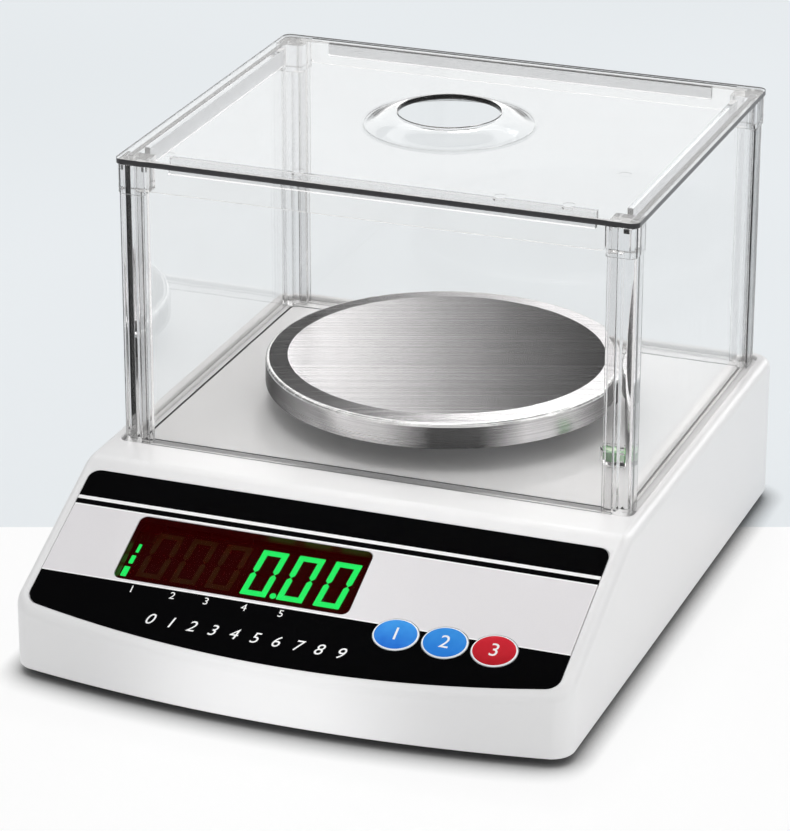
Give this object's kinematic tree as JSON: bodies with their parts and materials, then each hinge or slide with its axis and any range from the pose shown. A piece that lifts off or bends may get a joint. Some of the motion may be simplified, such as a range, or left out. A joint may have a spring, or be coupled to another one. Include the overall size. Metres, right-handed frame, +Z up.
{
  "type": "precision balance",
  "caption": "Bench electronic balance with a round steel pan under a clear lift-off draft shield, and a sloped control panel with a lit numeric window and oval keys.",
  "frame": {"origin": "on the table under the middle of the footprint", "axes": "+Z up, -Y to the front where the controls are, +X to the right as seen from the front"},
  "size_m": [0.198, 0.25, 0.164],
  "materials": {
    "white_plastic": "satin moulded ABS",
    "grey_plastic": "matt moulded plastic",
    "black_plastic": "matt moulded plastic",
    "floor_paint": "fine matt powder coat",
    "zinc_steel": "zinc plated",
    "brushed_pan": "brushed across, bright edge",
    "aluminium": "milled",
    "rubber_black": "matt",
    "silicone": "matt",
    "circuit_board": "solder mask",
    "clear_acrylic": "clear, polished",
    "level_green": "clear, tinted liquid",
    "panel_print": "printed film, black and light grey",
    "window_tint": "dark red tint, polished",
    "key_blue": "printed",
    "key_red": "printed"
  },
  "bodies": {
    "base": {"upper_housing": "white_plastic", "level_cup": "white_plastic", "base_plate": "grey_plastic", "load_cell_lead": "grey_plastic", "display_ribbon": "grey_plastic", "battery": "black_plastic", "power_inlet": "black_plastic", "power_switch_frame": "black_plastic", "led_module_left": "black_plastic", "led_module_right": "black_plastic", "led_indicators": "black_plastic", "key_switch_1": "black_plastic", "key_switch_2": "black_plastic", "key_switch_3": "black_plastic", "chamber_floor": "floor_paint", "housing_screw_front_left": "zinc_steel", "housing_screw_back_left": "zinc_steel", "housing_screw_front_right": "zinc_steel", "housing_screw_back_right": "zinc_steel", "cell_screw_1": "zinc_steel", "cell_screw_2": "zinc_steel", "overload_stop": "zinc_steel", "battery_strap": "zinc_steel", "load_cell": "aluminium", "cell_mount_block": "aluminium", "main_board": "circuit_board", "display_board": "circuit_board", "level_vial": "level_green", "panel_film": "panel_print", "display_window": "window_tint"},
    "weighing": {"load_bracket": "aluminium", "pan_support": "aluminium", "pan_pad_1": "silicone", "pan_pad_2": "silicone", "pan_pad_3": "silicone", "pan_pad_4": "silicone", "bracket_screw_1": "zinc_steel", "bracket_screw_2": "zinc_steel"},
    "pan": {"weighing_pan": "brushed_pan"},
    "shield": {"shield_post_front_left": "clear_acrylic", "shield_post_back_left": "clear_acrylic", "shield_post_front_right": "clear_acrylic", "shield_post_back_right": "clear_acrylic", "shield_panel_front": "clear_acrylic", "shield_panel_back": "clear_acrylic", "shield_panel_left": "clear_acrylic", "shield_panel_right": "clear_acrylic"},
    "lid": {"shield_lid": "clear_acrylic"},
    "key_zero": {"key_1": "key_blue"},
    "key_count": {"key_2": "key_blue"},
    "key_tare": {"key_3": "key_red"},
    "rocker": {"power_rocker": "black_plastic"},
    "foot_front_left": {"foot_pad_front_left": "rubber_black"},
    "wheel_front_left": {"foot_screw_front_left": "black_plastic"},
    "foot_back_left": {"foot_pad_back_left": "rubber_black"},
    "wheel_back_left": {"foot_screw_back_left": "black_plastic"},
    "foot_front_right": {"foot_pad_front_right": "rubber_black"},
    "wheel_front_right": {"foot_screw_front_right": "black_plastic"},
    "foot_back_right": {"foot_pad_back_right": "rubber_black"},
    "wheel_back_right": {"foot_screw_back_right": "black_plastic"}
  },
  "joints": [
    {"name": "weighing_travel", "type": "slide", "parent": "base", "child": "weighing", "axis": [0, 0, -1], "range_m": [0, 0.0003], "stiffness_N_per_m": 16300, "springref_m": -0.00015},
    {"name": "pan_lift_off", "type": "slide", "parent": "weighing", "child": "pan", "axis": [0, 0, 1], "range_m": [0, 0.06]},
    {"name": "shield_lift_off", "type": "slide", "parent": "base", "child": "shield", "axis": [0, 0, 1], "range_m": [0, 0.06]},
    {"name": "lid_lift_off", "type": "slide", "parent": "shield", "child": "lid", "axis": [0, 0, 1], "range_m": [0, 0.05]},
    {"name": "key_zero_press", "type": "slide", "parent": "base", "child": "key_zero", "axis": [0, 0.4226, -0.9063], "range_m": [0, 0.0004], "stiffness_N_per_m": 3000},
    {"name": "key_count_press", "type": "slide", "parent": "base", "child": "key_count", "axis": [0, 0.4226, -0.9063], "range_m": [0, 0.0004], "stiffness_N_per_m": 3000},
    {"name": "key_tare_press", "type": "slide", "parent": "base", "child": "key_tare", "axis": [0, 0.4226, -0.9063], "range_m": [0, 0.0004], "stiffness_N_per_m": 3000},
    {"name": "power_rocker_tilt", "type": "hinge", "parent": "base", "child": "rocker", "pos_m": [-0.018, 0.12, 0.027], "axis": [0, 0, 1], "range_deg": [-20, 0]},
    {"name": "foot_front_left_extend", "type": "slide", "parent": "base", "child": "foot_front_left", "axis": [0, 0, -1], "range_m": [0, 0.004]},
    {"name": "foot_front_left_turn", "type": "hinge", "parent": "foot_front_left", "child": "wheel_front_left", "pos_m": [-0.079, -0.081, 0.006], "axis": [0, 0, -1], "range_deg": [0, 1440]},
    {"name": "foot_back_left_extend", "type": "slide", "parent": "base", "child": "foot_back_left", "axis": [0, 0, -1], "range_m": [0, 0.004]},
    {"name": "foot_back_left_turn", "type": "hinge", "parent": "foot_back_left", "child": "wheel_back_left", "pos_m": [-0.079, 0.104, 0.006], "axis": [0, 0, -1], "range_deg": [0, 1440]},
    {"name": "foot_front_right_extend", "type": "slide", "parent": "base", "child": "foot_front_right", "axis": [0, 0, -1], "range_m": [0, 0.004]},
    {"name": "foot_front_right_turn", "type": "hinge", "parent": "foot_front_right", "child": "wheel_front_right", "pos_m": [0.079, -0.081, 0.006], "axis": [0, 0, -1], "range_deg": [0, 1440]},
    {"name": "foot_back_right_extend", "type": "slide", "parent": "base", "child": "foot_back_right", "axis": [0, 0, -1], "range_m": [0, 0.004]},
    {"name": "foot_back_right_turn", "type": "hinge", "parent": "foot_back_right", "child": "wheel_back_right", "pos_m": [0.079, 0.104, 0.006], "axis": [0, 0, -1], "range_deg": [0, 1440]}
  ],
  "couplings": [
    {"joint": "foot_front_left_turn", "follows": "foot_front_left_extend", "rad_per_m": 6283.2},
    {"joint": "foot_back_left_turn", "follows": "foot_back_left_extend", "rad_per_m": 6283.2},
    {"joint": "foot_front_right_turn", "follows": "foot_front_right_extend", "rad_per_m": 6283.2},
    {"joint": "foot_back_right_turn", "follows": "foot_back_right_extend", "rad_per_m": 6283.2}
  ]
}
